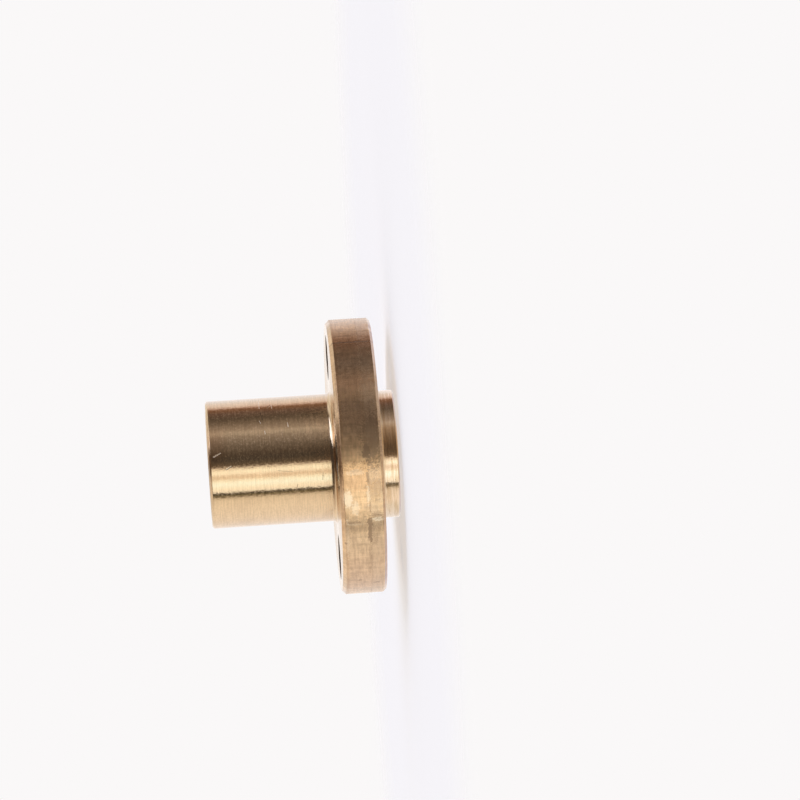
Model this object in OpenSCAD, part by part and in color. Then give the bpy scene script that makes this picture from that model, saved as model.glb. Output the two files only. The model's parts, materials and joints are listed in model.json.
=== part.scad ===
// Flanged lead screw nut, turned from one piece of brass.
// The nut stands on its boss end, with the screw axis on +Z and the origin on that axis
// at the boss end face. From the bottom up it has the short boss, the round flange with
// its screw holes, and the long body. A right-hand trapezoidal thread runs right through.
// All sizes are in millimetres, and angles are in degrees.

/* [Body] */
// Outer diameter of the body, the long barrel above the flange
body_d = 10.2; // [9.6:0.1:11.2]
// Length of the body above the flange
body_len = 10; // [4:0.5:25]
// Chamfer round the free end of the body
body_chamfer = 0.15; // [0.1:0.05:0.3]

/* [Boss] */
// Outer diameter of the boss, the short barrel below the flange
boss_d = 10.2; // [9.6:0.1:11.2]
// Length of the boss below the flange
boss_len = 1.5; // [1:0.1:6]
// Chamfer round the free end of the boss
boss_chamfer = 0.1; // [0.05:0.05:0.3]

/* [Flange] */
// Outer diameter of the flange
flange_d = 22; // [20.6:0.2:32]
// Thickness of the flange
flange_t = 3.5; // [1.5:0.1:8]
// Chamfer on the edge of the flange rim on the body side
flange_chamfer = 0.3; // [0.1:0.05:0.4]
// Chamfer on the edge of the flange rim on the boss side
flange_back_chamfer = 0.2; // [0.1:0.05:0.4]
// Radius that the tool leaves in the corners where the body and the boss meet the flange
root_r = 0.4; // [0.2:0.05:0.5]

/* [Mounting holes] */
// Number of screw holes in the flange
hole_count = 4; // [2:1:6]
// Diameter of each screw hole
hole_d = 3.5; // [2.2:0.1:4.4]
// Diameter of the circle that the hole centres lie on
hole_pcd = 16; // [15:0.1:17.4]
// Chamfer at both ends of each screw hole
hole_chamfer = 0.05; // [0.05:0.05:0.2]

/* [Thread] */
// Outer diameter of the lead screw that runs in the nut
screw_d = 8; // [7:0.1:8.6]
// Distance from one thread ridge to the next, along the axis
pitch = 2; // [1.5:0.25:2.5]
// Number of separate threads wound side by side
starts = 1; // [1:1:4]
// Angle between each flank of the thread and a plane square to the axis
flank_angle = 15; // [10:1:20]
// Gap between the screw's crests and the bottom of the nut's groove, along the radius
root_clearance = 0.25; // [0.1:0.05:0.3]
// How far the nut's own crests are bored back from the basic profile, along the radius
crest_relief = 0.15; // [0.05:0.05:0.25]
// How far the lead-in cone at each end opens past the bottom of the groove
lead_in = 0.1; // [0.05:0.05:0.15]
// Angle between the lead-in cone and the axis
lead_in_angle = 50; // [45:5:60]

/* [Hidden] */
$fn = 96;

// Levels along the axis, from the boss end up
z_flange = boss_len;
z_face = z_flange + flange_t;
z_top = z_face + body_len;

// Radii of the thread in the nut
pitch_r = screw_d / 2 - pitch / 4;
minor_r = screw_d / 2 - pitch / 2 + crest_relief;
major_r = screw_d / 2 + root_clearance;
lead_in_r = major_r + lead_in;

// The groove's cutter has its flanks carried past the radii that it is trimmed to, and
// every cutter runs past the end that it opens, by this amount
overrun = 0.3;
cut_in_r = minor_r - overrun;
cut_out_r = major_r + overrun;

// Travel of the nut in one turn of the screw, and the cutter's sections in that turn
lead = pitch * starts;
steps = 36;

// Half the width of the groove at radius r. On the pitch cylinder it is half of half a
// pitch, and it narrows outwards by the slope of its flanks.
function groove_half(r) = pitch / 4 - (r - pitch_r) * tan(flank_angle);

// A point at radius r and turn angle a, at height h above the groove's middle line
function groove_point(r, a, h) = [r * cos(a), r * sin(a), lead * a / 360 + h];

// The four corners of the groove's section at turn angle a
function groove_section(a) = [
    groove_point(cut_in_r, a, -groove_half(cut_in_r)),
    groove_point(cut_out_r, a, -groove_half(cut_out_r)),
    groove_point(cut_out_r, a, groove_half(cut_out_r)),
    groove_point(cut_in_r, a, groove_half(cut_in_r))
];

// One start of the groove: the section swept up a right-hand helix, from below the nut
// to above it
module groove_start() {
    first = -ceil(steps * (overrun + pitch) / lead);
    last = ceil(steps * (z_top + overrun + pitch) / lead);
    sections = [for (i = [first:last]) groove_section(360 * i / steps)];
    corners = len(sections[0]);
    end = corners * (len(sections) - 1);
    sides = [
        for (a = [0:end - 1])
            let (b = a % corners == corners - 1 ? a + 1 - corners : a + 1)
                each [[a, b + corners, a + corners], [a, b, b + corners]]
    ];
    caps = [
        [for (k = [corners - 1:-1:0]) k],
        [for (k = [0:corners - 1]) end + k]
    ];
    polyhedron(points = [for (s = sections) each s], faces = concat(sides, caps));
}

// The groove of the thread, with its bottom trimmed to a true cylinder
module groove() {
    intersection() {
        for (s = [0:starts - 1]) rotate(360 * s / starts) groove_start();
        translate([0, 0, -overrun]) cylinder(r = major_r, h = z_top + 2 * overrun);
    }
}

// A round hole from z0 up to z1 with its mouth at both ends opened by a cone, which has
// radius mouth_r at the surface and lies at angle from the axis
module coned_hole(r, mouth_r, angle, z0, z1) {
    depth = (mouth_r - r) / tan(angle);
    outer_r = mouth_r + overrun * tan(angle);
    translate([0, 0, z0 - overrun]) {
        cylinder(r = r, h = z1 - z0 + 2 * overrun);
        cylinder(r1 = outer_r, r2 = r, h = depth + overrun);
    }
    translate([0, 0, z1 - depth]) cylinder(r1 = r, r2 = outer_r, h = depth + overrun);
}

// The turned outline, revolved: boss, flange and body, with their edges chamfered and
// the tool's radius left in both inner corners
module blank() {
    boss_r = boss_d / 2;
    body_r = body_d / 2;
    rim_r = flange_d / 2;
    rotate_extrude() difference() {
        polygon([
            [0, 0],
            [boss_r - boss_chamfer, 0],
            [boss_r, boss_chamfer],
            [boss_r, z_flange - root_r],
            [boss_r + root_r, z_flange],
            [rim_r - flange_back_chamfer, z_flange],
            [rim_r, z_flange + flange_back_chamfer],
            [rim_r, z_face - flange_chamfer],
            [rim_r - flange_chamfer, z_face],
            [body_r + root_r, z_face],
            [body_r, z_face + root_r],
            [body_r, z_top - body_chamfer],
            [body_r - body_chamfer, z_top],
            [0, z_top]
        ]);
        translate([boss_r + root_r, z_flange - root_r]) circle(r = root_r);
        translate([body_r + root_r, z_face + root_r]) circle(r = root_r);
    }
}

module mounting_holes() {
    for (i = [0:hole_count - 1])
        rotate(360 * i / hole_count) translate([hole_pcd / 2, 0, 0])
            coned_hole(hole_d / 2, hole_d / 2 + hole_chamfer, 45, z_flange, z_face);
}

module lead_screw_nut() {
    color("#b8935a") difference() {
        blank();
        coned_hole(minor_r, lead_in_r, lead_in_angle, 0, z_top);
        groove();
        mounting_holes();
    }
}

lead_screw_nut();
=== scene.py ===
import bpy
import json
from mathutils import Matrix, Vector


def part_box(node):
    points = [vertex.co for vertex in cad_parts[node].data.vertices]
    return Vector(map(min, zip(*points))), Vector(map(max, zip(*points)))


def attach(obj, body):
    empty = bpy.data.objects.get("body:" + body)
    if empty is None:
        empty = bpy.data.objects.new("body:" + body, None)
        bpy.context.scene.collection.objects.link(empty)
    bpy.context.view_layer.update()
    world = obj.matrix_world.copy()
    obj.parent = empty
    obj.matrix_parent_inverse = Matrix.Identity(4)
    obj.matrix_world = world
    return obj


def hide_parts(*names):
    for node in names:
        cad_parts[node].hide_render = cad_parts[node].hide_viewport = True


bl_info = {
    "name": "Lead screw nut",
    "version": (1, 0, 0),
    "blender": (4, 5, 0),
    "location": "3D View > Sidebar > Lead Screw Nut",
    "description": "Flanged brass nut for a trapezoidal lead screw, standing on its boss end",
    "category": "Object",
}

import json
import math
from types import SimpleNamespace

import bmesh
import bpy
import numpy as np
from bpy.props import FloatProperty, FloatVectorProperty, PointerProperty
from mathutils import Matrix, Vector

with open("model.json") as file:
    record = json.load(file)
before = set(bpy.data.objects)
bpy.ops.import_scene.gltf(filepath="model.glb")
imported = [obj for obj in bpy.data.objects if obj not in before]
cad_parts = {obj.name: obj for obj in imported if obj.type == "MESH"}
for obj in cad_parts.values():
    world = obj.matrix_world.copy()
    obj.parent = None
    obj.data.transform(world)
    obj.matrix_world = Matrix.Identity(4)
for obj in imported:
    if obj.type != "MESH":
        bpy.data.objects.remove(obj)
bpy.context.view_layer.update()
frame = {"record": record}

# Lengths and heights are in millimetres, and angles on the nut in degrees round the screw
# axis, from -Y towards +X, where nothing else is said.
MM = 0.001
mounts = {m["name"]: m for m in frame["record"]["mounts"]}
low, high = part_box("lead_screw_nut")

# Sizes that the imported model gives
RIM_R = (high.x - low.x) / 2 / MM
TOP_Z = high.z / MM
BODY_R = mounts["body_pilot"]["dims"]["r_mm"]
BOSS_R = mounts["boss_pilot"]["dims"]["r_mm"]
FLANGE_LOW_Z = mounts["flange_boss_side"]["pos_m"][2] / MM
FLANGE_HIGH_Z = mounts["flange_body_side"]["pos_m"][2] / MM
FLANGE_MIDDLE_Z = (FLANGE_LOW_Z + FLANGE_HIGH_Z) / 2
HOLE_COUNT = mounts["flange_screws"]["dims"]["count"]
HOLE_R = mounts["flange_screws"]["dims"]["hole_r_mm"]
HOLE_CIRCLE_R = mounts["flange_screws"]["dims"]["pcd_mm"] / 2
CREST_R = mounts["screw_thread"]["dims"]["r_mm"]

# Columns round the thread, and twice as many round the turned surfaces
THREAD_COLUMNS = 144
TURNED_COLUMNS = 2 * THREAD_COLUMNS
# Steps along the straight line between two neighbouring holes' shares of the flange
SPOKE_STEPS = 20
# Longest step between two rows of the thread, and of the flange rim
THREAD_ROW = 0.14
RIM_ROW = 0.3
# Widths of the narrow rings beside the flange's edges, and round the thread and the holes
EDGE_RING = 0.06
MOUTH_RING = 0.04
# Distance from an edge to the extra row that keeps the shading beside it flat
BESIDE_EDGE = 0.03
# Radii on the thread's crests, in the bottom of its groove, and on the screw holes' chamfers
CREST_BREAK = 0.05
GROOVE_BREAK = 0.06
HOLE_BREAK = 0.02
# Points nearer than this, in metres, are one point
SAME_POINT = 2e-7
# Edges that turn by more than this are shaded as edges
SHARP_EDGE = math.radians(33)

# Places of the brasses in the nut's list of materials
BODY_BRASS, RIM_BRASS, BORE_BRASS = 0, 1, 2

# Low step round the flange rim: where it starts, the height that it comes in over, its depth
STEP_Z = 2.72
STEP_RISE = 0.12
STEP_DEPTH = 0.008

# Dents in the flange rim: angle, height, half length round the rim, half height, depth
RIM_DENTS = (
    (80.0, 4.80, 0.9, 0.30, 0.06),
    (68.0, 1.60, 0.7, 0.30, 0.07),
    (-19.0, 4.20, 1.0, 0.60, 0.012),
    (-26.7, 2.15, 0.5, 0.45, 0.020),
    (33.0, 1.75, 0.6, 0.25, 0.03),
    (-52.0, 1.60, 0.5, 0.22, 0.03),
)

# How far under the rim's radius the dents and the step end, and the length they fade over
HOLLOWS_END = 0.28
HOLLOWS_FADE = 0.1

# Scratches, light (above 0) and dark (below 0), on the body: angle and height of one end and
# of the other, width, strength
BODY_SCRATCHES = (
    (7.6, 14.62, 10.6, 14.06, 0.045, 0.9),
    (-4.2, 13.68, -1.8, 13.28, 0.060, 0.65),
    (40.0, 10.80, 37.0, 10.72, 0.045, 0.6),
    (29.0, 10.46, 26.0, 10.42, 0.04, 0.5),
    (36.0, 8.60, 31.5, 8.56, 0.04, 0.5),
    (70.0, 10.75, 57.0, 10.72, 0.045, 0.5),
    (61.0, 9.76, 56.0, 9.74, 0.04, 0.5),
    (61.5, 9.85, 57.0, 10.10, 0.045, -0.5),
    (50.0, 10.66, 41.0, 10.56, 0.07, -0.6),
    (27.0, 9.10, 22.0, 9.06, 0.03, -0.4),
    (-22.0, 8.10, -28.5, 8.30, 0.03, -0.35),
    (-12.0, 6.05, -19.0, 6.10, 0.03, -0.35),
    (-8.0, 9.60, -10.0, 8.40, 0.025, -0.3),
    (98.0, 12.20, 118.0, 12.05, 0.05, 0.6),
    (150.0, 8.80, 171.0, 9.30, 0.04, -0.5),
    (-95.0, 11.40, -101.0, 10.20, 0.04, 0.6),
    (-140.0, 7.20, -152.0, 7.30, 0.05, 0.5),
)

# Dark patches (below 0) and bright patches (above 0) on the rim, partly stains and rubbed places
# # and partly painted shade and highlight: angle, height, half length round the rim, half height,
# strength
RIM_PATCHES = (
    (6.0, 2.80, 1.8, 0.15, -0.6),
    (2.2, 2.80, 0.85, 0.32, -0.8),
    (7.5, 2.30, 2.2, 0.80, -0.55),
    (-13.5, 2.30, 1.0, 0.70, -0.22),
    (-9.2, 2.80, 0.6, 0.12, -0.55),
    (-16.0, 2.82, 0.9, 0.12, 0.35),
    (-6.3, 3.74, 0.22, 0.75, 0.3),
    (-28.0, 2.76, 0.5, 0.20, -0.7),
    (-26.7, 2.15, 0.20, 0.42, 0.75),
    (-25.0, 2.30, 0.08, 0.60, -0.3),
    (-17.0, 4.45, 0.75, 0.40, 0.45),
    (-21.5, 3.85, 0.65, 0.30, 0.3),
    (-27.7, 4.10, 0.10, 0.55, -0.45),
    (-28.6, 4.05, 0.05, 0.80, 0.35),
    (55.2, 3.20, 0.10, 1.90, -0.85),
    (-62.7, 3.68, 0.09, 0.22, -0.6),
    (-65.9, 2.33, 0.09, 0.30, -0.5),
    (-37.9, 4.73, 0.10, 0.14, -0.6),
    (-33.5, 2.80, 1.0, 0.16, -0.75),
    (-34.0, 2.45, 0.9, 0.35, -0.2),
    (-43.0, 2.83, 1.2, 0.11, -0.28),
    (-54.0, 2.85, 1.3, 0.10, -0.16),
    (-36.0, 4.58, 1.9, 0.13, 0.3),
    (-7.5, 2.30, 0.6, 0.60, 0.15),
    (28.0, 2.30, 1.1, 0.75, 0.14),
    (49.0, 2.30, 2.4, 0.75, 0.14),
    (24.0, 3.40, 2.6, 1.60, -0.2),
    (140.0, 3.20, 2.5, 0.70, -0.3),
    (205.0, 2.60, 1.6, 0.50, -0.4),
    (250.0, 3.90, 1.2, 0.45, 0.3),
    (110.0, 2.40, 0.8, 0.40, 0.3),
)

# Painted light and shade round the rim, as the share of the clean colour kept: angle and share
RIM_PAINTED_LIGHT = (
    (-180, (0.90, 0.90, 0.90)),
    (-90, (1.24, 1.34, 1.42)),
    (-70, (0.83, 0.82, 0.85)),
    (-50, (0.86, 0.87, 0.92)),
    (-40, (0.87, 0.91, 0.97)),
    (-35, (1.08, 1.14, 1.22)),
    (-27, (0.97, 0.96, 0.96)),
    (-24, (1.02, 0.97, 0.92)),
    (-20, (0.97, 0.89, 0.81)),
    (-10, (0.98, 0.91, 0.85)),
    (-5, (1.12, 1.03, 0.94)),
    (-1.5, (1.26, 1.19, 1.06)),
    (0.5, (1.14, 1.08, 1.01)),
    (3, (0.98, 0.95, 0.91)),
    (6, (1.03, 0.98, 0.94)),
    (11, (1.04, 1.03, 1.04)),
    (16, (0.87, 0.84, 0.85)),
    (19.2, (0.80, 0.78, 0.79)),
    (21.7, (0.63, 0.61, 0.62)),
    (26, (0.75, 0.71, 0.69)),
    (32, (0.90, 0.82, 0.82)),
    (38, (0.77, 0.76, 0.80)),
    (42, (0.89, 0.93, 1.05)),
    (50, (0.97, 1.02, 1.05)),
    (56, (0.72, 0.66, 0.60)),
    (63, (0.63, 0.58, 0.49)),
    (70, (0.92, 0.86, 0.80)),
    (90, (1.00, 1.00, 1.00)),
    (180, (0.90, 0.90, 0.90)),
)

# Light of the studio at the height of the object, by the angle round the screw axis in
# degrees, from the camera towards +X: backdrop, strip lamp between two dark gaps, dark room
# behind the camera, small window, dark wall, backdrop
STUDIO_ROUND = (
    (-180, (1.04, 1.02, 1.02)),
    (-135, (1.03, 1.03, 1.11)),
    (-85, (1.07, 1.04, 1.03)),
    (-69, (0.98, 0.94, 0.90)),
    (-63.5, (0.76, 0.72, 0.67)),
    (-61.5, (0.28, 0.25, 0.18)),
    (-53.6, (0.0, 0.0, 0.0)),
    (-52.0, (1.30, 1.33, 1.38)),
    (-45, (1.36, 1.42, 1.42)),
    (-37, (1.43, 1.70, 1.88)),
    (-31, (1.42, 1.56, 1.58)),
    (-27, (1.17, 1.09, 1.01)),
    (-22.5, (1.00, 0.90, 0.82)),
    (-19, (1.33, 1.32, 1.29)),
    (-14, (1.50, 1.62, 1.62)),
    (-8.5, (1.14, 1.10, 1.06)),
    (-5, (0.18, 0.14, 0.115)),
    (0, (0.125, 0.105, 0.09)),
    (8, (0.072, 0.064, 0.062)),
    (18, (0.103, 0.086, 0.078)),
    (32, (0.184, 0.162, 0.155)),
    (48, (0.325, 0.293, 0.287)),
    (58, (0.54, 0.505, 0.50)),
    (63, (0.39, 0.345, 0.333)),
    (78, (0.205, 0.174, 0.16)),
    (89, (0.111, 0.092, 0.082)),
    (104, (0.157, 0.108, 0.098)),
    (117.5, (0.27, 0.150, 0.100)),
    (121, (0.68, 0.54, 0.55)),
    (129, (0.94, 0.89, 0.99)),
    (150, (0.98, 1.02, 1.16)),
    (180, (1.04, 1.02, 1.02)),
)

# Light of the studio above the object, by the same angle: backdrop, dark ceiling over the
# camera, wall, backdrop. The soft box hangs in front of the dark part.
STUDIO_ABOVE = (
    (-180, (0.98, 0.97, 0.97)),
    (-128, (1.02, 0.98, 0.95)),
    (-118, (0.85, 0.78, 0.74)),
    (-109, (0.80, 0.74, 0.72)),
    (-86, (0.64, 0.57, 0.52)),
    (-68, (0.16, 0.13, 0.11)),
    (-35, (0.08, 0.065, 0.06)),
    (30, (0.05, 0.043, 0.042)),
    (84, (0.16, 0.13, 0.115)),
    (90, (0.48, 0.43, 0.40)),
    (105, (0.98, 1.00, 1.08)),
    (115, (0.98, 0.98, 1.00)),
    (126, (0.66, 0.63, 0.62)),
    (143, (0.86, 0.84, 0.82)),
    (180, (0.98, 0.97, 0.97)),
)

# Soft box: the shares of the turn from -180 degrees, and the heights of the direction,
# between which it comes in and goes out again, and its light
SOFT_BOX_ROUND = (0.602, 0.608, 0.730, 0.738)
SOFT_BOX_HEIGHT = (0.38, 0.44, 0.92, 0.96)
SOFT_BOX_LIGHT = (2.1, 2.3, 3.05)

# Light from straight above, and from below: on the +X side, on the -X side, and at the back
CEILING_LIGHT = (0.14, 0.10, 0.08)
BELOW_LIGHT = (0.55, 0.51, 0.47)
BELOW_SIDE_LIGHT = (0.76, 0.68, 0.58)
BELOW_BACK_LIGHT = (0.80, 0.82, 1.08)

# Floor: its rings and columns, its colour in the studio's light, and the light that it
# gives off itself, as a share of the paper's colour
FLOOR_RINGS = 12
FLOOR_COLUMNS = 96
FLOOR_COLOUR = (0.644, 0.636, 0.633)
FLOOR_OWN_LIGHT = 0.5

# Camera, in metres: its place along X and its height, and the height that it is aimed at
CAMERA_X = 0.00423
CAMERA_Z = 0.0185
AIM_Z = -0.00063


# ---------------------------------------- settings


def length_property(name, description, millimetres):
    return FloatProperty(name=name, description=description, default=millimetres * MM, min=0.0,
                         unit="LENGTH", precision=5)


def angle_property(name, description, default, least, most):
    return FloatProperty(name=name, description=description, default=math.radians(default),
                         min=math.radians(least), max=math.radians(most), subtype="ANGLE")


def share_property(name, description, default):
    return FloatProperty(name=name, description=description, default=default, min=0.0, max=1.0,
                         subtype="FACTOR")


def colour_property(name, description, default):
    return FloatVectorProperty(name=name, description=description, default=default, min=0.0,
                               max=1.0, subtype="COLOR")


class NutSizes(bpy.types.PropertyGroup):
    """Sizes that finish the nut's edges and cut its thread"""

    body_chamfer: length_property("Body chamfer", "Chamfer round the free end of the body", 0.15)
    boss_chamfer: length_property("Boss chamfer", "Chamfer round the free end of the boss", 0.1)
    rim_chamfer: length_property(
        "Rim chamfer", "Chamfer on the flange rim's edge on the body side", 0.3)
    rim_back_chamfer: length_property(
        "Rim back chamfer", "Chamfer on the flange rim's edge on the boss side", 0.2)
    hole_chamfer: length_property("Hole chamfer", "Chamfer at both ends of each screw hole", 0.05)
    root_radius: length_property(
        "Root radius", "Radius left where the body and the boss meet the flange", 0.4)
    edge_break: length_property("Edge break", "Small radius on every chamfer's own edges", 0.03)
    pitch: length_property("Pitch", "Distance between neighbouring thread ridges along the axis", 2.0)
    screw_diameter: length_property(
        "Screw diameter", "Outer diameter of the lead screw that runs in the nut", 8.0)
    root_clearance: length_property(
        "Groove clearance", "Gap between the screw's crests and the bottom of the groove", 0.25)
    flank_angle: angle_property(
        "Flank angle", "Angle between a thread flank and a plane square to the axis", 15, 5, 30)
    lead_in: length_property("Lead-in", "How far the cone at each end opens past the groove", 0.1)
    lead_in_angle: angle_property(
        "Lead-in angle", "Angle between the lead-in cone and the axis", 50, 30, 70)


class NutFinish(bpy.types.PropertyGroup):
    """Colour and polish of the brass"""

    brass: colour_property("Brass", "Colour of the clean brass", (0.76, 0.555, 0.335))
    rim: colour_property("Rim", "Colour of the drawn bar's skin on the flange rim", (0.78, 0.53, 0.305))
    tarnish: colour_property("Tarnish", "Colour of the handled, tarnished brass", (0.50, 0.34, 0.22))
    body_roughness: share_property("Body roughness", "Roughness of the turned body and boss", 0.15)
    rim_roughness: share_property("Rim roughness", "Roughness of the flange rim", 0.25)
    bore_roughness: share_property(
        "Bore roughness", "Roughness of the thread and the screw holes", 0.28)


class StudioSettings(bpy.types.PropertyGroup):
    """Camera, floor and light of the stage"""

    paper: colour_property("Paper", "Colour of the floor and the backdrop", (0.956, 0.939, 0.939))
    floor_radius: length_property(
        "Floor radius", "Radius at which the floor has faded into the backdrop", 90.0)
    lens: FloatProperty(
        name="Lens", description="Focal length of the camera", default=224.9, min=20.0, unit="CAMERA")
    camera_distance: length_property(
        "Camera distance", "Distance from the screw axis to the camera", 400.0)
    camera_roll: angle_property(
        "Camera roll", "Turn of the camera past lying on its side", 3.67, -180, 180)


# ---------------------------------------- surfaces


def rounded(corners, radii, cuts=6, support=BESIDE_EDGE):
    """Outline through corners, an (n, 2) array of (r, z), with each inner corner turned into
    an arc of its radius. With a and b the unit vectors from a corner to its neighbours and h
    half the angle between them, the arc touches both sides radius / tan(h) from the corner,
    its centre lies radius / sin(h) along a + b, and a point on it at share w is
    centre + (sin((1 - w) q) u + sin(w q) v) / sin(q), where u and v lead from the centre to
    the arc's ends and q is the angle between them. One more point on each side, support
    before and after the arc, keeps the shading of the straight parts flat."""
    corners = np.asarray(corners, float)
    middle, radii = corners[1:-1], np.asarray(radii, float)[:, None]
    a = corners[:-2] - middle
    b = corners[2:] - middle
    a /= np.linalg.norm(a, axis=1, keepdims=True)
    b /= np.linalg.norm(b, axis=1, keepdims=True)
    half = np.arccos(np.clip((a * b).sum(1, keepdims=True), -1, 1)) / 2
    reach = radii / np.tan(half)
    along = (a + b) / np.linalg.norm(a + b, axis=1, keepdims=True)
    centre = middle + along * radii / np.sin(half)
    u, v = middle + a * reach - centre, middle + b * reach - centre
    q = (math.pi - 2 * half)[:, None]
    w = np.linspace(0, 1, cuts + 1)[None, :, None]
    swing = np.sin((1 - w) * q) * u[:, None] + np.sin(w * q) * v[:, None]
    arc = centre[:, None] + swing / np.sin(q)
    before = (middle + a * (reach + support))[:, None]
    after = (middle + b * (reach + support))[:, None]
    inner = np.concatenate([before, arc, after], axis=1).reshape(-1, 2)
    return np.concatenate([corners[:1], inner, corners[-1:]])


def split_long(outline, longest):
    """The same outline with its long straight parts cut into equal steps: each segment of
    length d gets ceil(d / longest) steps, and the new points lie on it by their share."""
    step = np.diff(outline, axis=0)
    counts = np.ceil(np.linalg.norm(step, axis=1) / longest - 1e-9).astype(int).clip(1)
    starts = np.repeat(np.arange(len(step)), counts)
    place = np.arange(len(starts)) - np.repeat(np.cumsum(counts) - counts, counts)
    share = (place / counts[starts])[:, None]
    return np.concatenate([outline[starts] + share * step[starts], outline[-1:]])


def turn_angles(columns):
    """Angles of a full turn from +X in radians, with the first repeated at the end."""
    return np.linspace(0, 2 * math.pi, columns + 1)


def grid_faces(rows, columns):
    """Four-sided faces of a grid of rows x columns points, stored row by row."""
    first = (np.arange(rows - 1)[:, None] * columns + np.arange(columns - 1)).ravel()
    return np.stack([first, first + 1, first + columns + 1, first + columns], axis=1)


def revolved(outline, angles, centre=(0.0, 0.0), groove=None):
    """Surface of revolution: the point (r, z) of the outline at angle t becomes
    (cx + r cos t, cy + r sin t, z). groove(r, z, t), where given, is taken off the radius."""
    r, z = outline[:, :1], outline[:, 1:]
    t = np.asarray(angles)[None, :]
    r, z = r + 0 * t, z + 0 * t
    if groove is not None:
        r = r - groove(r, z, t)
    points = np.stack([centre[0] + r * np.cos(t), centre[1] + r * np.sin(t), z], axis=-1)
    return points.reshape(-1, 3), grid_faces(len(outline), len(angles))


def random_dents(count=12):
    """More small dents, as rows of RIM_DENTS, mostly on the far side of the rim."""
    rng = np.random.default_rng(11)
    heights = [FLANGE_LOW_Z + 0.1, FLANGE_HIGH_Z - 0.15, 3.2]
    return np.stack([
        rng.uniform(75, 285, count), rng.choice(heights, count), rng.uniform(0.4, 0.9, count),
        rng.uniform(0.2, 0.35, count), rng.uniform(0.015, 0.05, count)], axis=1)


def rim_hollows(r, z, t):
    """Depth of the handling dents in the rim, and of the low step on its boss side. Each dent
    is depth (1 - q)^2 where q, the sum of the squared distances from its middle along the
    rim and along the axis over its half sizes, is under 1."""
    rows = np.concatenate([RIM_DENTS, random_dents()])
    angle, middle, along, across, depth = rows.T[:, :, None, None]
    turn = t[None] - np.radians(angle - 90)
    arc = np.arctan2(np.sin(turn), np.cos(turn)) * RIM_R
    q = (arc / along) ** 2 + ((z[None] - middle) / across) ** 2
    dents = (depth * np.clip(1 - q, 0, 1) ** 2).sum(axis=0)
    step = STEP_DEPTH * np.clip((STEP_Z - z) / STEP_RISE, 0, 1)
    return (dents + step) * np.clip((r - (RIM_R - HOLLOWS_END)) / HOLLOWS_FADE, 0, 1)


def share_loop(inner_r, outer_r):
    """Closed loop round one hole's share of the flange, with the hole on +X: out along the
    outer circle, in along the line between two shares, back along the inner circle and out
    along the other line. Returns its points and, for each, the matching angle round the
    hole, spread evenly between the four corners."""
    half = math.pi / HOLE_COUNT
    steps = TURNED_COLUMNS // HOLE_COUNT
    ends = np.cumsum([0, steps, SPOKE_STEPS, steps, SPOKE_STEPS])
    place = np.arange(ends[-1] + 1)
    radius = np.interp(place, ends, [outer_r, outer_r, inner_r, inner_r, outer_r])
    angle = np.interp(place, ends, [-half, half, half, -half, -half])
    loop = np.stack([radius * np.cos(angle), radius * np.sin(angle)], axis=1)
    corner = loop[ends] - [HOLE_CIRCLE_R, 0]
    turn = np.arctan2(corner[:, 1], corner[:, 0])
    turn[2:] = np.where(turn[2:] < 0, turn[2:] + 2 * math.pi, turn[2:])
    turn[4] = turn[0] + 2 * math.pi
    return loop, np.interp(place, ends, turn)


def turned(points, angle):
    """Points turned about the Z axis: (x cos a - y sin a, x sin a + y cos a, z)."""
    c, s = math.cos(angle), math.sin(angle)
    return points @ np.array([[c, s, 0], [-s, c, 0], [0, 0, 1]])


def for_each_hole(points, faces):
    """The surface round the hole on +X, repeated at equal angles for every hole."""
    copies = [turned(points, 2 * math.pi * k / HOLE_COUNT) for k in range(HOLE_COUNT)]
    starts = [k * len(points) for k in range(HOLE_COUNT)]
    return np.concatenate(copies), np.concatenate([faces + start for start in starts])


def drilled_face(z, inner_r, outer_r, mouth_r):
    """Flat ring with the screw holes in it. In each hole's share the point at (j, w) is
    loop[j] + w (mouth[j] - loop[j]), with w from 0 on the share's outline to 1 on the hole's
    mouth, and a narrow row beside each of the two."""
    loop, turn = share_loop(inner_r, outer_r)
    mouth = np.stack([HOLE_CIRCLE_R + mouth_r * np.cos(turn), mouth_r * np.sin(turn)], axis=1)
    reach = np.linalg.norm(mouth - loop, axis=1)[None, :, None]
    share = np.array([0, 0, 0.3, 0.65, 1, 1])[:, None, None]
    narrow = np.array([0, 1, 0, 0, -1, 0])[:, None, None] * BESIDE_EDGE / reach
    flat = loop[None] + (share + narrow) * (mouth - loop)[None]
    points = np.concatenate([flat, np.full(flat.shape[:2] + (1,), z)], axis=-1).reshape(-1, 3)
    return for_each_hole(points, grid_faces(len(share), len(loop)))


def hole_walls(outline, inner_r, outer_r):
    """Walls of the screw holes: the outline revolved about each hole's own axis, with the
    same angles as the holes' mouths in the flange faces."""
    turn = share_loop(inner_r, outer_r)[1]
    return for_each_hole(*revolved(outline, turn, centre=(HOLE_CIRCLE_R, 0.0)))


def thread_outline(sizes):
    """One pitch of the nut's thread as (s, r), with s along the axis from the middle of the
    groove: the groove is half a pitch wide on the pitch cylinder and narrows outwards by
    tan(flank angle), so its half width at radius r is pitch / 4 - (r - pitch_r) tan(flank)."""
    pitch = sizes.pitch / MM
    pitch_r = sizes.screw_diameter / MM / 2 - pitch / 4
    groove_r = sizes.screw_diameter / MM / 2 + sizes.root_clearance / MM
    bottom = pitch / 4 - (groove_r - pitch_r) * math.tan(sizes.flank_angle)
    mouth = pitch / 4 - (CREST_R - pitch_r) * math.tan(sizes.flank_angle)
    corners = [(-pitch / 2, CREST_R), (-mouth, CREST_R), (-bottom, groove_r),
               (bottom, groove_r), (mouth, CREST_R), (pitch / 2, CREST_R)]
    radii = [CREST_BREAK, GROOVE_BREAK, GROOVE_BREAK, CREST_BREAK]
    return rounded(corners, radii, cuts=3), groove_r


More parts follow.
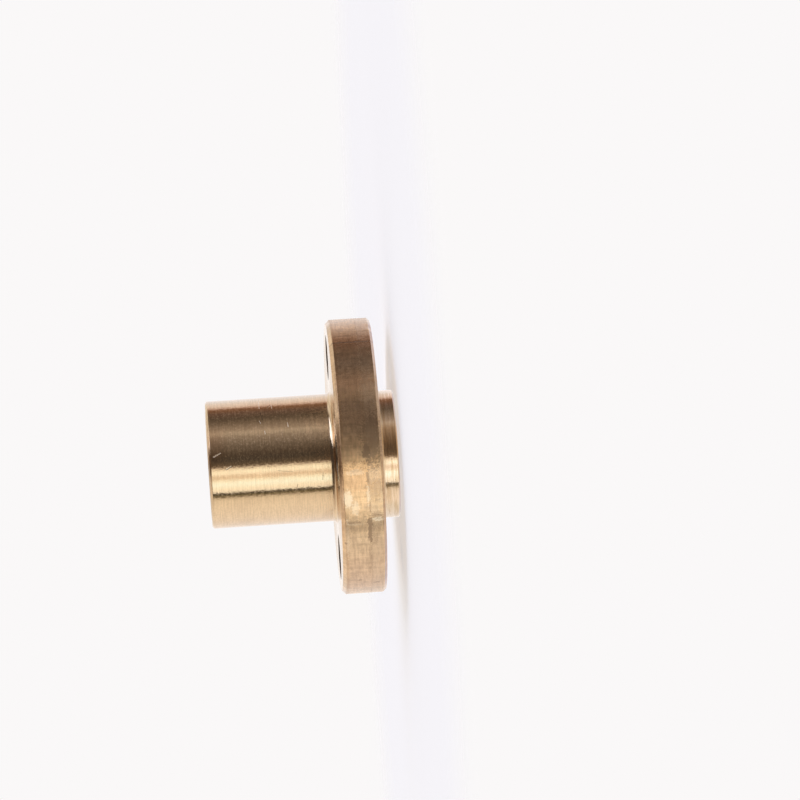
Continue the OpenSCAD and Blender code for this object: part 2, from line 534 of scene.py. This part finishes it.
def threaded_bore(sizes):
    """Thread from end to end, opened by a cone at each end. At turn angle t the row S of the
    outline lies at z = pitch t / 2 pi + S, held between the two ends, and its radius is the
    larger of the thread's at z - pitch t / 2 pi and the cone's, which falls from its edge by
    tan(lead-in angle) a millimetre. The rows nearest to where each cone meets the crests and
    the bottom of the groove are moved onto those places. Returns the cone's radius too."""
    outline, groove_r = thread_outline(sizes)
    pitch = sizes.pitch / MM
    cone_r = groove_r + sizes.lead_in / MM
    fall = math.tan(sizes.lead_in_angle)
    s, r = outline[:, 0], outline[:, 1]
    one_pitch = split_long(outline, THREAD_ROW)[:-1, 0]
    turns = np.arange(-1, math.ceil(TOP_Z / pitch) + 2)
    rows = np.unique(np.round((turns[:, None] * pitch + one_pitch).ravel(), 9))
    # rows that reach the nut somewhere in a turn, with a little to spare
    spare = 0.2 * pitch
    rows = rows[(rows > -pitch - spare) & (rows < TOP_Z + spare)]
    t = turn_angles(THREAD_COLUMNS)
    lead = (pitch * t / (2 * math.pi))[None, :]
    z = rows[:, None] + lead
    for depth in ((cone_r - CREST_R) / fall, (cone_r - groove_r) / fall):
        for edge in (depth, TOP_Z - depth):
            nearest = np.abs(z - edge).argmin(axis=0)
            z[nearest, np.arange(len(t))] = edge
    z = np.clip(z, 0, TOP_Z)
    place = (z - lead + pitch / 2) % pitch - pitch / 2
    radius = np.interp(place, s, r)
    radius = np.maximum(radius, np.maximum(cone_r - z * fall, cone_r - (TOP_Z - z) * fall))
    points = np.stack([radius * np.cos(t), radius * np.sin(t), z], axis=-1).reshape(-1, 3)
    quads = grid_faces(len(rows), len(t))
    return points, np.concatenate([quads[:, [0, 1, 3]], quads[:, [1, 2, 3]]]), cone_r


def end_ring(z, inner_r, outer_r):
    """Flat ring between the thread's edge and the turned end face, which has twice as many
    columns: each step of the inner circle meets two of the outer one in three triangles."""
    inner_t, outer_t = turn_angles(THREAD_COLUMNS), turn_angles(TURNED_COLUMNS)
    points = np.concatenate([
        np.stack([radius * np.cos(t), radius * np.sin(t), np.full(len(t), z)], axis=1)
        for radius, t in ((inner_r, inner_t), (outer_r, outer_t))])
    i = np.arange(THREAD_COLUMNS)
    o = len(inner_t) + 2 * i
    corners = ((i, o, o + 1), (i, o + 1, i + 1), (i + 1, o + 1, o + 2))
    return points, np.concatenate([np.stack(three, axis=1) for three in corners])


def boss_outline(sizes, ring_r, face_r):
    """From the ring round the thread, over the boss, to the flange's face."""
    chamfer, tiny = sizes.boss_chamfer / MM, sizes.edge_break / MM
    corners = [(ring_r, 0), (BOSS_R - chamfer, 0), (BOSS_R, chamfer),
               (BOSS_R, FLANGE_LOW_Z), (face_r, FLANGE_LOW_Z)]
    return rounded(corners, [tiny, tiny, sizes.root_radius / MM])


def body_outline(sizes, ring_r, face_r):
    """From the flange's face, over the body, to the ring round the thread."""
    chamfer, tiny = sizes.body_chamfer / MM, sizes.edge_break / MM
    corners = [(face_r, FLANGE_HIGH_Z), (BODY_R, FLANGE_HIGH_Z), (BODY_R, TOP_Z - chamfer),
               (BODY_R - chamfer, TOP_Z), (ring_r, TOP_Z)]
    return rounded(corners, [sizes.root_radius / MM, tiny, tiny])


def rim_outline(sizes, face_r):
    """Round the flange's rim from one face to the other, with rows at the low step."""
    chamfer, back_chamfer = sizes.rim_chamfer / MM, sizes.rim_back_chamfer / MM
    corners = [(face_r, FLANGE_LOW_Z), (RIM_R - back_chamfer, FLANGE_LOW_Z),
               (RIM_R, FLANGE_LOW_Z + back_chamfer), (RIM_R, FLANGE_HIGH_Z - chamfer),
               (RIM_R - chamfer, FLANGE_HIGH_Z), (face_r, FLANGE_HIGH_Z)]
    outline = rounded(corners, [sizes.edge_break / MM] * 4, cuts=4, support=0.02)
    below, above = outline[outline[:, 1] < STEP_Z], outline[outline[:, 1] > STEP_Z]
    wall = np.array([below[-1], (RIM_R, STEP_Z - STEP_RISE), (RIM_R, STEP_Z), above[0]])
    return np.concatenate([below[:-1], split_long(wall, RIM_ROW), above[1:]])


def hole_outline(sizes, mouth_r):
    """Down a screw hole, from its mouth in one face of the flange to that in the other."""
    chamfer = sizes.hole_chamfer / MM
    corners = [(mouth_r, FLANGE_HIGH_Z), (HOLE_R + chamfer, FLANGE_HIGH_Z),
               (HOLE_R, FLANGE_HIGH_Z - chamfer), (HOLE_R, FLANGE_LOW_Z + chamfer),
               (HOLE_R + chamfer, FLANGE_LOW_Z), (mouth_r, FLANGE_LOW_Z)]
    return rounded(corners, [HOLE_BREAK] * 4, cuts=1, support=0.01)


def nut_patches(sizes):
    """The nut's surfaces as (points in millimetres, faces, finish): thread, end faces, boss,
    rim, body, flange faces and screw holes."""
    bore, bore_faces, cone_r = threaded_bore(sizes)
    ring_r = cone_r + MOUTH_RING
    face_in = BODY_R + sizes.root_radius / MM + EDGE_RING
    face_out = RIM_R - sizes.rim_chamfer / MM - EDGE_RING
    mouth_r = HOLE_R + sizes.hole_chamfer / MM + MOUTH_RING
    around = turn_angles(TURNED_COLUMNS)
    return [
        (bore, bore_faces, BORE_BRASS),
        (*end_ring(0.0, cone_r, ring_r), BODY_BRASS),
        (*end_ring(TOP_Z, cone_r, ring_r), BODY_BRASS),
        (*revolved(boss_outline(sizes, ring_r, face_in), around), BODY_BRASS),
        (*revolved(rim_outline(sizes, face_out), around, groove=rim_hollows), RIM_BRASS),
        (*revolved(body_outline(sizes, ring_r, face_in), around), BODY_BRASS),
        (*drilled_face(FLANGE_LOW_Z, face_in, face_out, mouth_r), BODY_BRASS),
        (*drilled_face(FLANGE_HIGH_Z, face_in, face_out, mouth_r), BODY_BRASS),
        (*hole_walls(hole_outline(sizes, mouth_r), face_in, face_out), BORE_BRASS),
    ]


def closed_mesh(name, patches):
    """One mesh from patches of (points in millimetres, faces, finish), with the points that
    patches share merged and every face turned outwards."""
    starts = np.cumsum([0] + [len(p) for p, _, _ in patches])
    faces = [f for (_, q, _), s in zip(patches, starts) for f in (q + s).tolist()]
    finishes = np.concatenate([np.full(len(q), m, np.int32) for _, q, m in patches])
    mesh = bpy.data.meshes.new(name)
    mesh.from_pydata((np.concatenate([p for p, _, _ in patches]) * MM).tolist(), [], faces)
    mesh.polygons.foreach_set("material_index", finishes)
    work = bmesh.new()
    work.from_mesh(mesh)
    bmesh.ops.remove_doubles(work, verts=work.verts, dist=SAME_POINT)
    bmesh.ops.recalc_face_normals(work, faces=work.faces)
    open_edges = sum(1 for e in work.edges if len(e.link_faces) != 2)
    work.to_mesh(mesh)
    work.free()
    if open_edges:
        raise RuntimeError(f"{name} is not closed: {open_edges} open edges")
    mesh.shade_smooth()
    mesh.set_sharp_from_angle(angle=SHARP_EDGE)
    return mesh


# ---------------------------------------- node helpers


def put(tree, kind, inputs=None, **settings):
    """One new node with its settings, and its inputs set to values or linked to sockets."""
    made = tree.nodes.new(kind)
    for name, value in settings.items():
        setattr(made, name, value)
    for name, value in (inputs or {}).items():
        if isinstance(value, bpy.types.NodeSocket):
            tree.links.new(value, made.inputs[name])
        else:
            made.inputs[name].default_value = value
    return made


def maths(tree, operation, *values, clamp=False):
    """Math node's result."""
    inputs = dict(enumerate(values))
    return put(tree, "ShaderNodeMath", inputs, operation=operation, use_clamp=clamp).outputs[0]


def times(tree, first, second):
    """first x second."""
    return maths(tree, "MULTIPLY", first, second)


def scaled(tree, value, factor, offset):
    """value x factor + offset."""
    return maths(tree, "MULTIPLY_ADD", value, factor, offset)


def weighted(tree, *terms, start=0.0):
    """Sum of start and of value x weight for each term."""
    total = start
    for value, weight in terms:
        total = scaled(tree, value, weight, total)
    return total


def distance(tree, value, middle):
    """How far the value is from the middle, either way."""
    return maths(tree, "ABSOLUTE", maths(tree, "SUBTRACT", value, middle))


def length(tree, a, b):
    """Length of the vector (a, b)."""
    return maths(tree, "SQRT", maths(tree, "ADD", times(tree, a, a), times(tree, b, b)))


def bearing(tree, x, y):
    """Angle of the direction (x, y) round the screw axis, from -Y towards +X, in radians."""
    return maths(tree, "ARCTAN2", x, times(tree, y, -1.0))


def eased(tree, value, start, end):
    """0 before start and 1 past end, with a smooth change between them."""
    inputs = {0: value, 1: start, 2: end}
    return put(tree, "ShaderNodeMapRange", inputs, interpolation_type="SMOOTHSTEP").outputs[0]


def between(tree, value, start, full, fading, end):
    """0 before start, 1 from full to fading, and 0 again past end."""
    return times(tree, eased(tree, value, start, full), eased(tree, value, end, fading))


def blend(tree, share, first, second, mode="MIX"):
    """Colour that goes from first to second by the share."""
    ends = [c if isinstance(c, bpy.types.NodeSocket) else (*c[:3], 1.0) for c in (first, second)]
    inputs = {0: share, 6: ends[0], 7: ends[1]}
    return put(tree, "ShaderNodeMix", inputs, data_type="RGBA", blend_type=mode).outputs[2]


def shades(tree, share, colour, darkest, lightest):
    """Colour that goes from darkest x colour to lightest x colour, held to 1."""
    ends = [tuple(min(1.0, factor * c) for c in colour) for factor in (darkest, lightest)]
    return blend(tree, share, *ends)


def tinted(tree, colour, *tints):
    """The colour with each tint laid over it in turn, by (share, strength, tint)."""
    for share, strength, tint in tints:
        colour = blend(tree, times(tree, share, strength), colour, tint)
    return colour


def turn_ramp(tree, share, stops):
    """Colour ramp over a full turn, from stops of (degrees, colour) between -180 and 180."""
    made = put(tree, "ShaderNodeValToRGB", {0: share})
    ramp = made.color_ramp
    ramp.interpolation = "LINEAR"
    while len(ramp.elements) < len(stops):
        ramp.elements.new(1.0)
    # the places come before the colours, because a moved stop can change its number
    for element, (degrees, _) in zip(ramp.elements, stops):
        element.position = (degrees + 180) / 360
    for element, (_, colour) in zip(ramp.elements, stops):
        element.color = (*colour, 1.0)
    return made.outputs[0]


def noise(tree, vector, scale, detail, roughness):
    """Noise value from 0 to 1."""
    inputs = {"Vector": vector, "Scale": scale, "Detail": detail, "Roughness": roughness}
    return put(tree, "ShaderNodeTexNoise", inputs).outputs[0]


# ---------------------------------------- brass


def new_material(name):
    """Material with an empty node tree, and the tree."""
    made = bpy.data.materials.new(name)
    made.use_nodes = True
    made.node_tree.nodes.clear()
    return made, made.node_tree


def metal(tree, colour, roughness, height, depth):
    """Shader of bare metal on the surface, with a relief of the depth in metres."""
    bump = put(tree, "ShaderNodeBump", {"Height": height, "Strength": 1.0, "Distance": depth})
    inputs = {"Base Color": colour, "Metallic": 1.0, "Roughness": roughness, "Normal": bump.outputs[0]}
    shader = put(tree, "ShaderNodeBsdfPrincipled", inputs)
    put(tree, "ShaderNodeOutputMaterial", {0: shader.outputs[0]})
    return shader


def brush(tree, shader, strength, turn):
    """Draws the shader's highlights out along or across the circles round the screw axis,
    as fine lines in the metal do. The turn is a share of a full one."""
    shader.inputs["Anisotropic"].default_value = strength
    shader.inputs["Anisotropic Rotation"].default_value = turn
    round_axis = put(tree, "ShaderNodeTangent", direction_type="RADIAL", axis="Z")
    tree.links.new(round_axis.outputs[0], shader.inputs["Tangent"])


def nut_places(tree):
    """Places on the nut in millimetres: the point itself, x, y, z, the distance r from the
    screw axis, and the angle round it in degrees, from -Y towards +X."""
    place = put(tree, "ShaderNodeTexCoord").outputs["Object"]
    point = put(tree, "ShaderNodeVectorMath", {0: place, 3: 1 / MM}, operation="SCALE").outputs[0]
    x, y, z = put(tree, "ShaderNodeSeparateXYZ", {0: point}).outputs
    angle = maths(tree, "DEGREES", bearing(tree, x, y))
    return SimpleNamespace(point=point, x=x, y=y, z=z, r=length(tree, x, y), angle=angle)


def wrapped(tree, at, radius, along):
    """Vector for noise on a cylinder: the direction from the screw axis times the radius,
    and the way along."""
    inverse = maths(tree, "DIVIDE", radius, maths(tree, "MAXIMUM", at.r, 0.1))
    parts = {0: times(tree, at.x, inverse), 1: times(tree, at.y, inverse), 2: along}
    return put(tree, "ShaderNodeCombineXYZ", parts).outputs[0]


def lathe_noise(tree, at, radius, density, detail, roughness):
    """Noise drawn out round the axis, as a lathe tool leaves it: the smaller the radius, the
    longer the lines. The density is by height, and 1.37 times as much along a flat face."""
    along = times(tree, maths(tree, "ADD", at.z, times(tree, at.r, 1.37)), density)
    return noise(tree, wrapped(tree, at, radius, along), 1.0, detail, roughness)


def unrolled(tree, at, angle, height, radius):
    """Way round the nut and way along the axis from a place to the shaded point, in
    millimetres on a cylinder of the radius."""
    along = times(tree, maths(tree, "SUBTRACT", at.angle, angle), math.pi / 180 * radius)
    return along, maths(tree, "SUBTRACT", at.z, height)


def scratch(tree, at, radius, angle, height, end_angle, end_height, width):
    """1 on a scratch and 0 beside it, from the distance to the line between its two ends:
    with (a, h) the way from the first end, (u, v) the scratch itself and s the share
    (a u + h v) / (u u + v v) held between 0 and 1, it is the length of (a - s u, h - s v)."""
    u, v = math.radians(end_angle - angle) * radius, end_height - height
    square = u * u + v * v
    a, h = unrolled(tree, at, angle, height, radius)
    share = maths(tree, "MULTIPLY_ADD", a, u / square, times(tree, h, v / square), clamp=True)
    away = length(tree, scaled(tree, share, -u, a), scaled(tree, share, -v, h))
    return eased(tree, away, width, width * 0.3)


def patch(tree, at, radius, ragged, angle, height, half_along, half_across):
    """1 inside an oval place and 0 outside it, with an edge that ragged moves in and out."""
    a, h = unrolled(tree, at, angle, height, radius)
    away = length(tree, maths(tree, "DIVIDE", a, half_along), maths(tree, "DIVIDE", h, half_across))
    return eased(tree, maths(tree, "ADD", away, ragged), 1.15, 0.75)


def marks(tree, rows, shape):
    """Strength of the light marks and of the dark marks, from rows that end in a strength,
    which is below 0 for a dark one. Where marks overlap, the strongest counts."""
    light, dark = 0.0, 0.0
    for *place, strength in rows:
        found = times(tree, shape(*place), abs(strength))
        if strength < 0:
            dark = maths(tree, "MAXIMUM", dark, found)
        else:
            light = maths(tree, "MAXIMUM", light, found)
    return light, dark


def body_brass(finish):
    """Turned brass of the body, the boss and the flat faces: bright, with fine lathe lines,
    a little grain, less of it on the faces, thin tarnish that is redder by the free end, and
    a few scratches. The boss is lighter, with coarser lines, and has painted light and shade
    by the angle round it: redder round -Y, bluer elsewhere, and darker past -50 degrees."""
    made, tree = new_material("turned_brass")
    at = nut_places(tree)
    on_face = eased(tree, at.r, BODY_R + 0.25, BODY_R + 0.45)
    on_boss = eased(tree, at.z, FLANGE_LOW_Z + 0.05, FLANGE_LOW_Z - 0.05)
    past_root = eased(tree, at.z, FLANGE_HIGH_Z + 0.3, FLANGE_HIGH_Z + 0.5)
    on_body = times(tree, past_root, eased(tree, at.r, BODY_R - 0.3, BODY_R - 0.2))

    lines = lathe_noise(tree, at, 3.0, 9.0, 3.0, 0.65)
    coarse = lathe_noise(tree, at, 2.0, 4.5, 2.0, 0.55)
    waver = lathe_noise(tree, at, 9.0, 2.4, 2.0, 0.55)
    cloud = noise(tree, at.point, 0.45, 3.0, 0.6)
    grain = maths(tree, "SUBTRACT", noise(tree, at.point, 5.5, 2.0, 0.6), 0.5)
    grain = scaled(tree, grain, scaled(tree, on_face, -0.75, 1.0), 0.5)
    light, dark = marks(tree, BODY_SCRATCHES, lambda *ends: scratch(tree, at, BODY_R, *ends))
    light, dark = times(tree, light, on_body), times(tree, dark, on_body)

    shade = eased(tree, weighted(tree, (lines, 0.6), (grain, 0.4)), 0.36, 0.64)
    tarnished = eased(tree, weighted(tree, (lines, 0.2), start=cloud), 0.55, 0.9)
    near_end = eased(tree, weighted(tree, (grain, 1.2), start=at.z), TOP_Z - 1.4, TOP_Z + 0.2)
    red_end = times(tree, near_end, eased(tree, distance(tree, at.angle, 14.0), 26.0, 8.0))
    boss_shade = eased(tree, coarse, 0.40, 0.60)
    boss_colour = blend(tree, boss_shade, (0.72, 0.51, 0.29), (0.91, 0.70, 0.46))
    # painted light and shade on the boss by the angle round it: redder round -Y, bluer elsewhere,
    # darker past -50 degrees
    painted_red_side = between(tree, at.angle, -8.0, 4.0, 22.0, 32.0)
    boss_painted_tone = blend(tree, painted_red_side, (1.00, 1.01, 1.09), (1.05, 0.90, 0.77))
    painted_shade_side = eased(tree, at.angle, -44.0, -54.0)
    boss_painted_tone = blend(tree, painted_shade_side, boss_painted_tone, (0.88, 0.91, 0.96))
    boss_colour = blend(tree, 1.0, boss_colour, boss_painted_tone, "MULTIPLY")
    colour = tinted(
        tree, shades(tree, shade, finish.brass, 0.89, 1.09),
        (tarnished, 0.22, finish.tarnish), (red_end, 0.5, (0.66, 0.40, 0.22)),
        (on_boss, 0.8, boss_colour), (light, 1.0, (0.93, 0.82, 0.66)), (dark, 1.0, (0.28, 0.19, 0.12)))

    grain_gloss = scaled(tree, on_boss, -0.35, 0.42)
    roughness = weighted(
        tree, (lines, 0.13), (maths(tree, "SUBTRACT", grain, 0.5), grain_gloss), (on_boss, 0.03),
        (light, 0.35), start=finish.body_roughness - 0.065)
    height = weighted(
        tree, (lines, 0.9), (grain, 0.7), (waver, 1.0), (maths(tree, "MAXIMUM", light, dark), -1.5))
    brush(tree, metal(tree, colour, roughness, height, 6e-6), 0.88, 0.25)
    return made


def rim_brass(finish):
    """Skin of the drawn bar on the flange rim: duller and redder, mottled, with faint lines
    along the axis that blur the light round it, painted light and shade by the angle round the
    rim, dark and bright patches that are partly stains and rubbed places and partly painted
    shade and highlight, and a greyer band on its boss side behind a dark line."""
    made, tree = new_material("rim_brass")
    at = nut_places(tree)
    on_rim = eased(tree, distance(tree, at.z, FLANGE_MIDDLE_Z), 1.58, 1.42)
    lines = noise(tree, wrapped(tree, at, RIM_R, times(tree, at.z, 0.16)), 3.4, 3.0, 0.65)
    hoops = lathe_noise(tree, at, 9.0, 6.5, 2.0, 0.6)
    mottle = noise(tree, at.point, 2.3, 4.0, 0.62)
    grain = noise(tree, at.point, 6.5, 2.0, 0.6)
    cloud = noise(tree, at.point, 0.7, 3.0, 0.6)

    ragged = scaled(tree, grain, 2.4, -1.2)
    # dark and bright patches: partly stains and rubbed places, partly painted shade and highlight
    bright_marks, dark_marks = marks(tree, RIM_PATCHES, lambda *place: patch(tree, at, RIM_R, ragged, *place))
    from_line = maths(tree, "SUBTRACT", at.z, STEP_Z + 0.08)
    from_line = maths(tree, "ABSOLUTE", weighted(tree, (mottle, 0.16), start=from_line))
    broken = eased(tree, maths(tree, "ADD", lines, cloud), 0.85, 1.25)
    line = times(tree, eased(tree, from_line, 0.07, 0.02), broken)
    dark_marks = maths(tree, "MAXIMUM", dark_marks, times(tree, line, 0.5))
    back_band = times(tree, eased(tree, at.z, 2.80, 2.62), eased(tree, mottle, 0.30, 0.62))
    wavy_z = weighted(tree, (grain, 0.16), start=at.z)
    edge_start = eased(tree, wavy_z, FLANGE_HIGH_Z - 0.50, FLANGE_HIGH_Z - 0.32)
    edge_end = eased(tree, at.z, FLANGE_HIGH_Z - 0.22, FLANGE_HIGH_Z - 0.30)
    edge_band = times(tree, edge_start, edge_end)

    shade = eased(tree, weighted(tree, (hoops, 0.5), (mottle, 0.4), (lines, 0.4)), 0.48, 0.82)
    colour = shades(tree, shade, finish.rim, 0.78, 1.14)
    # painted light and shade by the angle round the rim, on its straight part only
    wavy_angle = weighted(tree, (mottle, 6.0), start=at.angle)
    turn = scaled(tree, wavy_angle, 1 / 360, 0.5 - 3.0 / 360)
    colour = blend(tree, on_rim, colour, turn_ramp(tree, turn, RIM_PAINTED_LIGHT), "MULTIPLY")
    colour = tinted(
        tree, colour, (eased(tree, cloud, 0.45, 0.70), 0.3, finish.tarnish),
        (back_band, 0.35, (0.60, 0.44, 0.29)), (edge_band, 0.4, (0.52, 0.31, 0.15)),
        (dark_marks, 1.0, (0.28, 0.18, 0.11)), (bright_marks, 1.0, (0.98, 0.78, 0.55)))

    dull = between(tree, at.angle, -4.0, 1.0, 8.0, 18.0)
    off_rim = maths(tree, "SUBTRACT", 1.0, on_rim)
    roughness = weighted(
        tree, (mottle, 0.14), (dull, 0.07), (off_rim, -0.10), (dark_marks, 0.12),
        start=finish.rim_roughness - 0.07)
    height = weighted(tree, (grain, 0.35), (lines, 0.35), (mottle, 1.2))
    height = times(tree, height, scaled(tree, on_rim, 0.75, 0.25))
    brush(tree, metal(tree, colour, roughness, height, 1.3e-5), 0.5, 0.0)
    return made


def bore_brass(finish):
    """Brass of the thread and the screw holes: cut, not polished, and dull with grease, with
    painted shade near the mouths of the holes."""
    made, tree = new_material("bore_brass")
    at = nut_places(tree)
    fine = lathe_noise(tree, at, 1.5, 7.0, 3.0, 0.6)
    cloud = noise(tree, at.point, 0.9, 3.0, 0.6)
    to_face = (FLANGE_HIGH_Z - FLANGE_LOW_Z) / 2
    off_middle = distance(tree, at.z, FLANGE_MIDDLE_Z)
    # painted shade: the screw holes' walls darken towards both faces of the flange
    mouth = times(tree, eased(tree, off_middle, to_face - 0.22, to_face - 0.08),
                  eased(tree, at.r, BODY_R + 0.4, BODY_R + 0.6))
    colour = tinted(
        tree, finish.brass, (eased(tree, cloud, 0.35, 0.75), 0.6, finish.tarnish),
        (eased(tree, fine, 0.6, 0.35), 0.25, finish.tarnish), (mouth, 0.85, (0.10, 0.075, 0.055)))
    metal(tree, colour, scaled(tree, fine, 0.1, finish.bore_roughness - 0.05), fine, 3e-6)
    return made


# ---------------------------------------- stage


def studio_world(paper):
    """Light of the room by direction, with the plain backdrop where the camera sees it."""
    world = bpy.data.worlds.new("studio")
    bpy.context.scene.world = world
    world.use_nodes = True
    tree = world.node_tree
    tree.nodes.clear()
    direction = put(tree, "ShaderNodeTexCoord").outputs["Generated"]
    x, y, z = put(tree, "ShaderNodeSeparateXYZ", {0: direction}).outputs
    share = scaled(tree, bearing(tree, x, y), 0.5 / math.pi, 0.5)
    light = turn_ramp(tree, share, STUDIO_ROUND)
    light = blend(tree, eased(tree, z, 0.17, 0.32), light, turn_ramp(tree, share, STUDIO_ABOVE))
    soft_box = times(tree, between(tree, share, *SOFT_BOX_ROUND), between(tree, z, *SOFT_BOX_HEIGHT))
    light = blend(tree, soft_box, light, SOFT_BOX_LIGHT)
    overhead = eased(tree, weighted(tree, (x, 0.03), start=z), 0.955, 0.998)
    light = blend(tree, overhead, light, CEILING_LIGHT)
    below = blend(tree, eased(tree, x, 0.02, -0.18), BELOW_LIGHT, BELOW_SIDE_LIGHT)
    below = blend(tree, maths(tree, "DIVIDE", y, 0.5, clamp=True), below, BELOW_BACK_LIGHT)
    light = blend(tree, eased(tree, z, -0.20, -0.45), light, below)
    seen = put(tree, "ShaderNodeLightPath").outputs["Is Camera Ray"]
    shown = blend(tree, seen, light, paper)
    background = put(tree, "ShaderNodeBackground", {"Color": shown, "Strength": 1.0})
    put(tree, "ShaderNodeOutputWorld", {0: background.outputs[0]})
    return world


def paper_material(studio):
    """Paper that fades out towards the floor's edge. Part of its lightness is its own, so
    the shadow on it stays soft. Only the camera sees it: the light from below that reaches
    the nut is the world's."""
    made, tree = new_material("paper")
    place = put(tree, "ShaderNodeTexCoord").outputs["Object"]
    away = put(tree, "ShaderNodeVectorMath", {0: place}, operation="LENGTH").outputs["Value"]
    faded = eased(tree, away, studio.floor_radius * 0.5, studio.floor_radius * 0.98)
    seen = put(tree, "ShaderNodeLightPath").outputs["Is Camera Ray"]
    gone = maths(tree, "MAXIMUM", faded, maths(tree, "SUBTRACT", 1.0, seen))
    own_light = {"Color": (*studio.paper, 1.0), "Strength": FLOOR_OWN_LIGHT}
    own = put(tree, "ShaderNodeEmission", own_light).outputs[0]
    lit = put(tree, "ShaderNodeBsdfDiffuse", {"Color": (*FLOOR_COLOUR, 1.0)}).outputs[0]
    both = put(tree, "ShaderNodeAddShader", {0: lit, 1: own}).outputs[0]
    clear = put(tree, "ShaderNodeBsdfTransparent").outputs[0]
    mixed = put(tree, "ShaderNodeMixShader", {0: gone, 1: both, 2: clear}).outputs[0]
    put(tree, "ShaderNodeOutputMaterial", {0: mixed})
    return made


def paper_floor(studio):
    """Pale floor under the nut, a disc that fades into the backdrop: rings round the screw
    axis, and a fan inside the first one."""
    radii = np.linspace(0.0, studio.floor_radius / MM, FLOOR_RINGS + 1)[1:]
    outline = np.stack([radii, 0 * radii], axis=1)
    points, faces = revolved(outline, turn_angles(FLOOR_COLUMNS))
    first = np.arange(FLOOR_COLUMNS)
    fan = np.stack([first, first + 1, np.full(FLOOR_COLUMNS, len(points))], axis=1)
    points = np.concatenate([points, [[0.0, 0.0, 0.0]]])
    mesh = bpy.data.meshes.new("paper_floor")
    mesh.from_pydata((points * MM).tolist(), [], faces.tolist() + fan.tolist())
    work = bmesh.new()
    work.from_mesh(mesh)
    bmesh.ops.remove_doubles(work, verts=work.verts, dist=SAME_POINT)
    work.to_mesh(mesh)
    work.free()
    mesh.materials.append(paper_material(studio))
    floor = bpy.data.objects.new("paper_floor", mesh)
    bpy.context.scene.collection.objects.link(floor)
    return floor


def studio_camera(studio):
    """Camera on the -Y side, lying on its side with the body to the left, and turned a
    little more by its roll."""
    data = bpy.data.cameras.new("camera")
    data.lens = studio.lens
    data.sensor_width = 36.0
    data.clip_start, data.clip_end = 0.02, 10.0
    camera = bpy.data.objects.new("camera", data)
    bpy.context.scene.collection.objects.link(camera)
    place = Vector((CAMERA_X, -studio.camera_distance, CAMERA_Z))
    back = (place - Vector((CAMERA_X, 0.0, AIM_Z))).normalized()
    # right in the picture is down in the scene
    right = (back.z * back - Vector((0, 0, 1))).normalized()
    up = back.cross(right)
    c, s = math.cos(studio.camera_roll), math.sin(studio.camera_roll)
    turn = Matrix((c * right - s * up, s * right + c * up, back)).transposed()
    camera.matrix_world = Matrix.Translation(place) @ turn.to_4x4()
    bpy.context.scene.camera = camera
    return camera


# ---------------------------------------- operators


class NUT_OT_lead_screw_nut(bpy.types.Operator):
    """Makes the brass nut: boss, drilled flange, body and threaded bore in one closed piece"""

    bl_idname = "nut.lead_screw_nut"
    bl_label = "Lead Screw Nut"
    bl_options = {"REGISTER", "UNDO"}

    def execute(self, context):
        mesh = closed_mesh("brass_nut", nut_patches(context.scene.nut_sizes))
        nut = bpy.data.objects.new("brass_nut", mesh)
        context.scene.collection.objects.link(nut)
        finish = context.scene.nut_finish
        for material in (body_brass(finish), rim_brass(finish), bore_brass(finish)):
            mesh.materials.append(material)
        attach(nut, "root")
        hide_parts("lead_screw_nut")
        return {"FINISHED"}


class NUT_OT_stage(bpy.types.Operator):
    """Makes the pale floor, the studio light and the camera"""

    bl_idname = "nut.stage"
    bl_label = "Stage"
    bl_options = {"REGISTER", "UNDO"}

    def execute(self, context):
        studio = context.scene.nut_studio
        studio_world(tuple(studio.paper))
        paper_floor(studio)
        studio_camera(studio)
        context.scene.view_settings.view_transform = "Standard"
        return {"FINISHED"}


class NUT_PT_panel(bpy.types.Panel):
    """Lists the operators and their settings"""

    bl_idname = "NUT_PT_panel"
    bl_label = "Lead Screw Nut"
    bl_space_type = "VIEW_3D"
    bl_region_type = "UI"
    bl_category = "Lead Screw Nut"

    def draw(self, context):
        scene = context.scene
        for group in (scene.nut_sizes, scene.nut_finish, scene.nut_studio):
            box = self.layout.box()
            for name in type(group).__annotations__:
                box.prop(group, name)
        self.layout.operator(NUT_OT_lead_screw_nut.bl_idname)
        self.layout.operator(NUT_OT_stage.bl_idname)


CLASSES = (NutSizes, NutFinish, StudioSettings, NUT_OT_lead_screw_nut, NUT_OT_stage, NUT_PT_panel)


def register():
    for cls in CLASSES:
        bpy.utils.register_class(cls)
    bpy.types.Scene.nut_sizes = PointerProperty(type=NutSizes)
    bpy.types.Scene.nut_finish = PointerProperty(type=NutFinish)
    bpy.types.Scene.nut_studio = PointerProperty(type=StudioSettings)


def unregister():
    del bpy.types.Scene.nut_studio
    del bpy.types.Scene.nut_finish
    del bpy.types.Scene.nut_sizes
    for cls in reversed(CLASSES):
        bpy.utils.unregister_class(cls)


def main():
    register()
    bpy.ops.nut.stage()
    bpy.ops.nut.lead_screw_nut()


if __name__ == "__main__":
    main()
